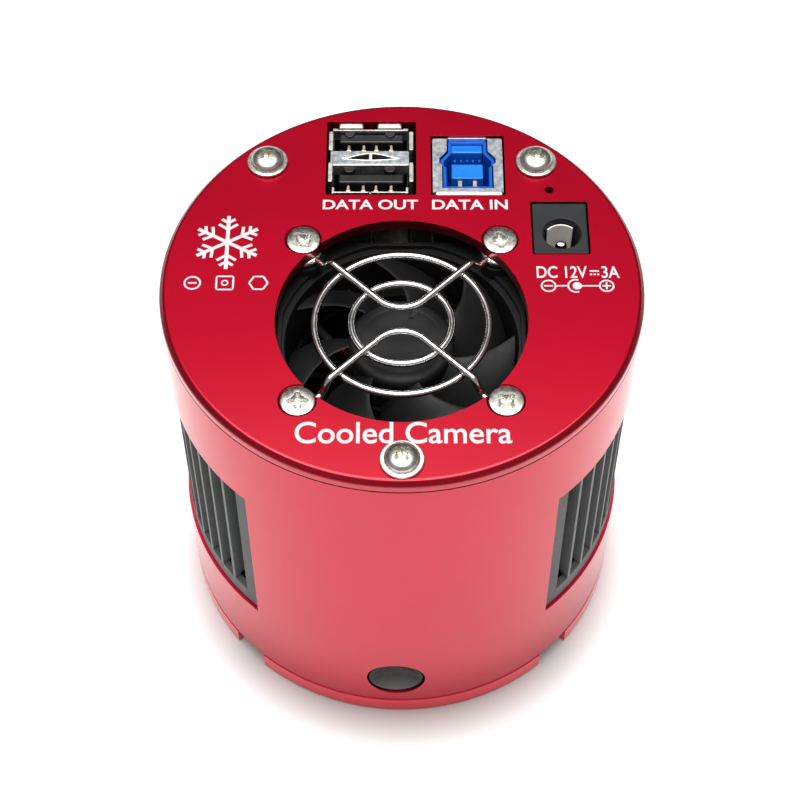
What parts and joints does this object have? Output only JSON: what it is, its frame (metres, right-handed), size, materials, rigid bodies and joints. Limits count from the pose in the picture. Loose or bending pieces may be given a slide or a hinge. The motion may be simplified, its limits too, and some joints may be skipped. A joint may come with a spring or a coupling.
{
  "type": "cooled astronomy camera",
  "caption": "Round cooled astronomy camera with a threaded front flange, sensor behind a window, finned heat sink, side vents, rear fan with wire guard, and sockets.",
  "frame": {"origin": "centre of the front flange's face, which is the bottom of the camera as it stands", "axes": "+Z along the optical axis, from the lens side to the rear cover; -Y is the side with the desiccant plug; +X is the side with the power jack"},
  "size_m": [0.078, 0.078, 0.0772],
  "materials": {
    "red_anodised": "satin red anodised",
    "steel": "bright",
    "coated_glass": "anti-reflection coated",
    "rubber": "matte",
    "black_anodised": "black anodised",
    "sensor_silicon": "glossy, iridescent",
    "ceramic": "fired ceramic",
    "circuit_board": "black solder mask",
    "copper": "machined copper",
    "black_plastic": "satin",
    "dark_plug": "smooth dark grey",
    "desiccant": "chalky",
    "dark_aluminium": "black anodised fins",
    "grey_plastic": "satin moulded",
    "magnet": "bonded ferrite",
    "brass": "sintered",
    "red_wire": "insulated wire",
    "chrome": "chromed wire",
    "socket_shell": "tin plated",
    "blue_plastic": "moulded",
    "light_guide": "clear"
  },
  "bodies": {
    "camera_body": {"front_plate": "red_anodised", "casing_shell": "red_anodised", "rear_cover": "red_anodised", "front_plate_screw_1": "steel", "front_plate_screw_2": "steel", "front_plate_screw_3": "steel", "front_plate_screw_4": "steel", "window_glass": "coated_glass", "window_gasket": "rubber", "window_retainer": "black_anodised", "sensor_chamber": "black_anodised", "chamber_o_ring": "rubber", "sensor_cover_glass": "coated_glass", "image_sensor": "sensor_silicon", "sensor_package": "ceramic", "sensor_board": "circuit_board", "cold_finger": "copper", "cooler_upper_stage": "ceramic", "cooler_lower_stage": "ceramic", "insulating_frame": "black_plastic", "desiccant_tablet": "desiccant", "heat_sink": "dark_aluminium", "vent_grille_right": "grey_plastic", "vent_grille_left": "grey_plastic", "main_board": "circuit_board", "board_screw_1": "steel", "board_screw_2": "steel", "board_screw_3": "steel", "fan_frame": "black_plastic", "fan_bearing": "brass", "fan_stator": "copper", "fan_lead": "red_wire", "finger_guard": "chrome", "fan_screw_1": "steel", "fan_screw_2": "steel", "fan_screw_3": "steel", "fan_screw_4": "steel", "cover_screw_1": "steel", "cover_screw_2": "steel", "cover_screw_3": "steel", "cover_washer_1": "steel", "cover_washer_2": "steel", "cover_washer_3": "steel", "usb_output_shell": "socket_shell", "usb_output_tongue_upper": "black_plastic", "usb_output_tongue_lower": "black_plastic", "usb_input_shell": "socket_shell", "usb_input_insulator": "blue_plastic", "power_jack_body": "black_plastic", "power_jack_pin": "steel", "power_jack_spring": "socket_shell", "status_light": "light_guide"},
    "rotor": {"fan_rotor": "black_plastic", "fan_shaft": "steel", "fan_magnet": "magnet"},
    "plug": {"desiccant_plug": "dark_plug", "plug_o_ring": "rubber"}
  },
  "joints": [
    {"name": "fan_spin", "type": "hinge", "parent": "camera_body", "child": "rotor", "pos_m": [0, -0.0075, 0.065], "axis": [0, 0, 1], "continuous": true},
    {"name": "plug_pull", "type": "slide", "parent": "camera_body", "child": "plug", "axis": [0, -1, 0], "range_m": [0, 0.014]}
  ]
}
